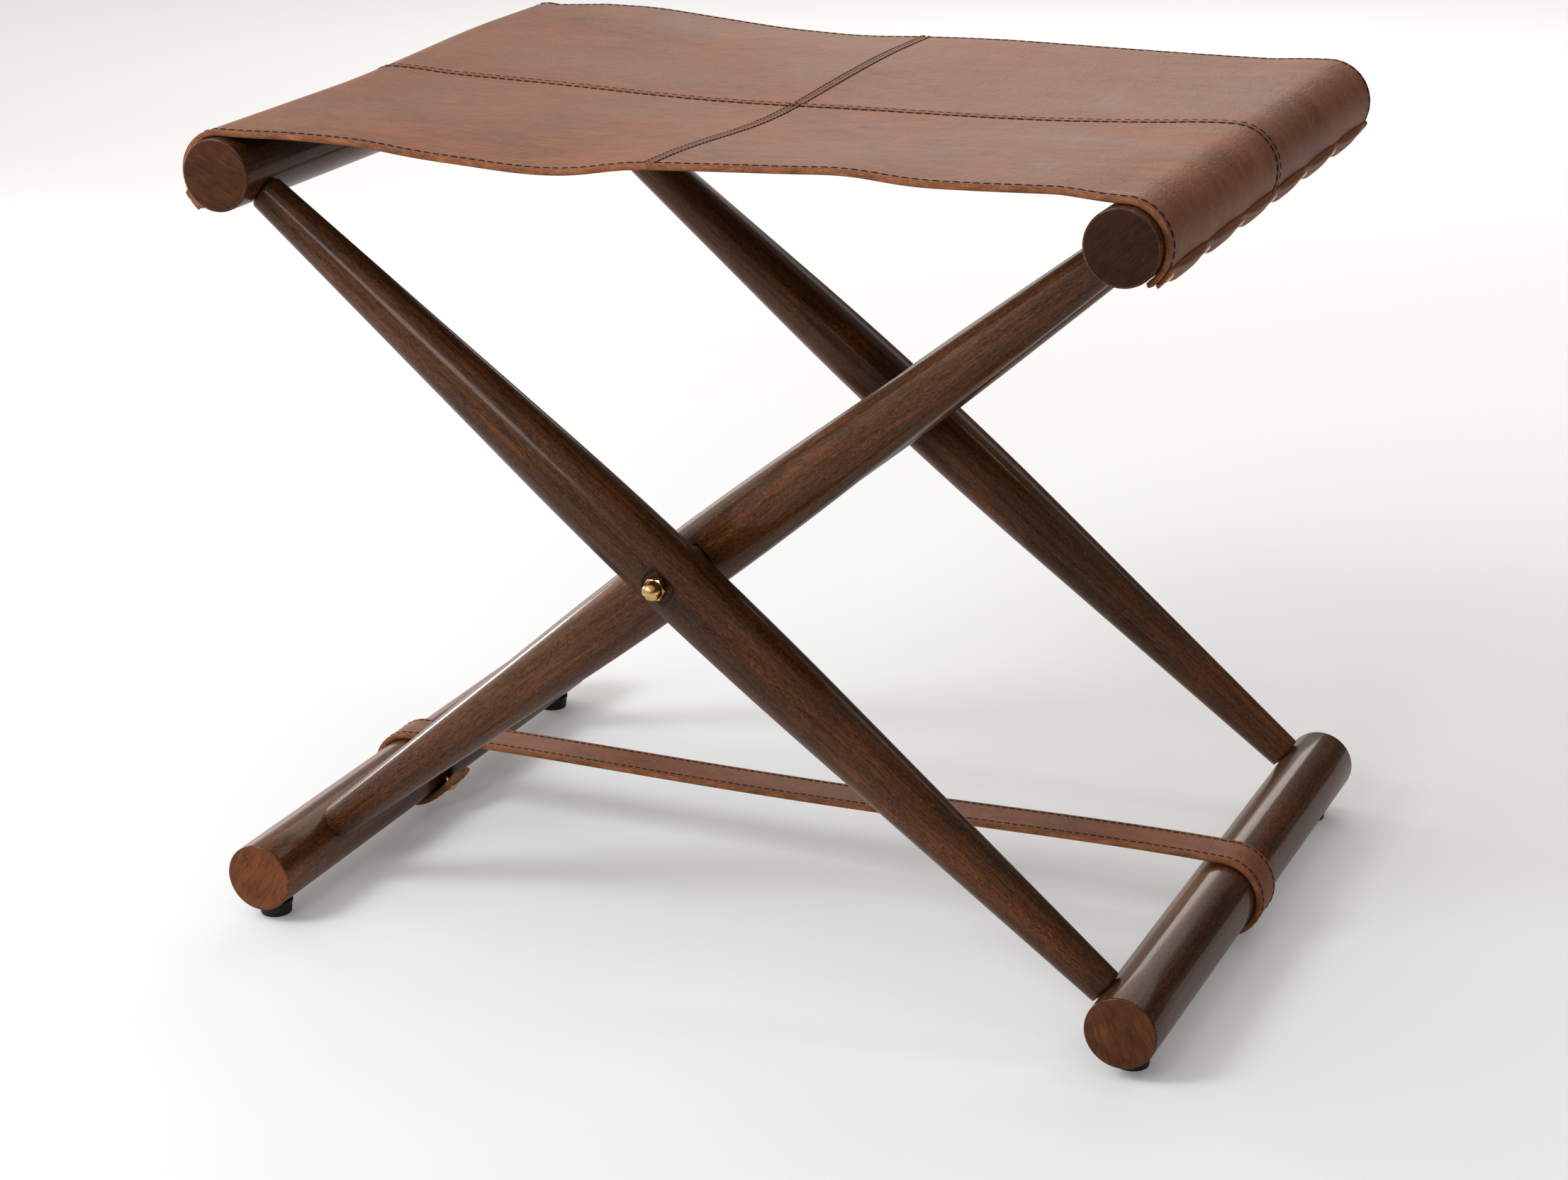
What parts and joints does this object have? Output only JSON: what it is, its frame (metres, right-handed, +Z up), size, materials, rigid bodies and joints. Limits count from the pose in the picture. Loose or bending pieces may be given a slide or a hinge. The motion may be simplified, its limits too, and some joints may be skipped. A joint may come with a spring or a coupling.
{
  "type": "folding camp stool",
  "caption": "Folding camp stool with crossed turned wooden legs, round rails, a nailed leather seat and a leather strap between the bottom rails.",
  "frame": {"origin": "centre of the object's box, on the floor under the feet", "axes": "+X along the stool's width, across the rails; +Y along the rails, front to rear; +Z up"},
  "size_m": [0.5556, 0.4012, 0.4534],
  "materials": {
    "wood": "dark walnut stain under glossy lacquer",
    "leather": "chestnut pull-up leather, soft sheen, tan raw edges",
    "brass": "polished",
    "steel": "zinc plated",
    "rubber": "matt black"
  },
  "bodies": {
    "outer_frame": {"top_rail_left": "wood", "bottom_rail_right": "wood", "outer_leg_front": "wood", "outer_leg_rear": "wood", "pivot_bolt_front": "brass", "pivot_bolt_rear": "brass", "acorn_nut_front": "brass", "acorn_nut_rear": "brass", "pivot_spacer_front": "brass", "pivot_spacer_rear": "brass", "pivot_washer_front": "brass", "pivot_washer_rear": "brass", "foot_front_right": "rubber", "foot_rear_right": "rubber", "foot_screw_front_right": "steel", "foot_screw_rear_right": "steel", "seat_panel_front_left": "leather", "seat_panel_rear_left": "leather", "seat_strip_left": "leather", "seat_nail_left_1": "brass", "seat_nail_left_2": "brass", "seat_nail_left_3": "brass", "seat_nail_left_4": "brass", "seat_nail_left_5": "brass", "seat_nail_left_6": "brass", "seat_nail_left_7": "brass", "strap": "leather", "strap_nail_right": "brass"},
    "inner_frame": {"top_rail_right": "wood", "bottom_rail_left": "wood", "inner_leg_front": "wood", "inner_leg_rear": "wood", "foot_front_left": "rubber", "foot_rear_left": "rubber", "foot_screw_front_left": "steel", "foot_screw_rear_left": "steel", "seat_panel_front_right": "leather", "seat_panel_rear_right": "leather", "seat_strip_right": "leather", "seat_nail_right_1": "brass", "seat_nail_right_2": "brass", "seat_nail_right_3": "brass", "seat_nail_right_4": "brass", "seat_nail_right_5": "brass", "seat_nail_right_6": "brass", "seat_nail_right_7": "brass", "strap_nail_left": "brass"}
  },
  "joints": [
    {"name": "fold", "type": "hinge", "parent": "outer_frame", "child": "inner_frame", "pos_m": [0, 0, 0.23212], "axis": [0, -1, 0], "range_deg": [0, 88], "deforming": ["seat_panel_front_left", "seat_panel_rear_left", "seat_panel_front_right", "seat_panel_rear_right", "strap"]}
  ]
}
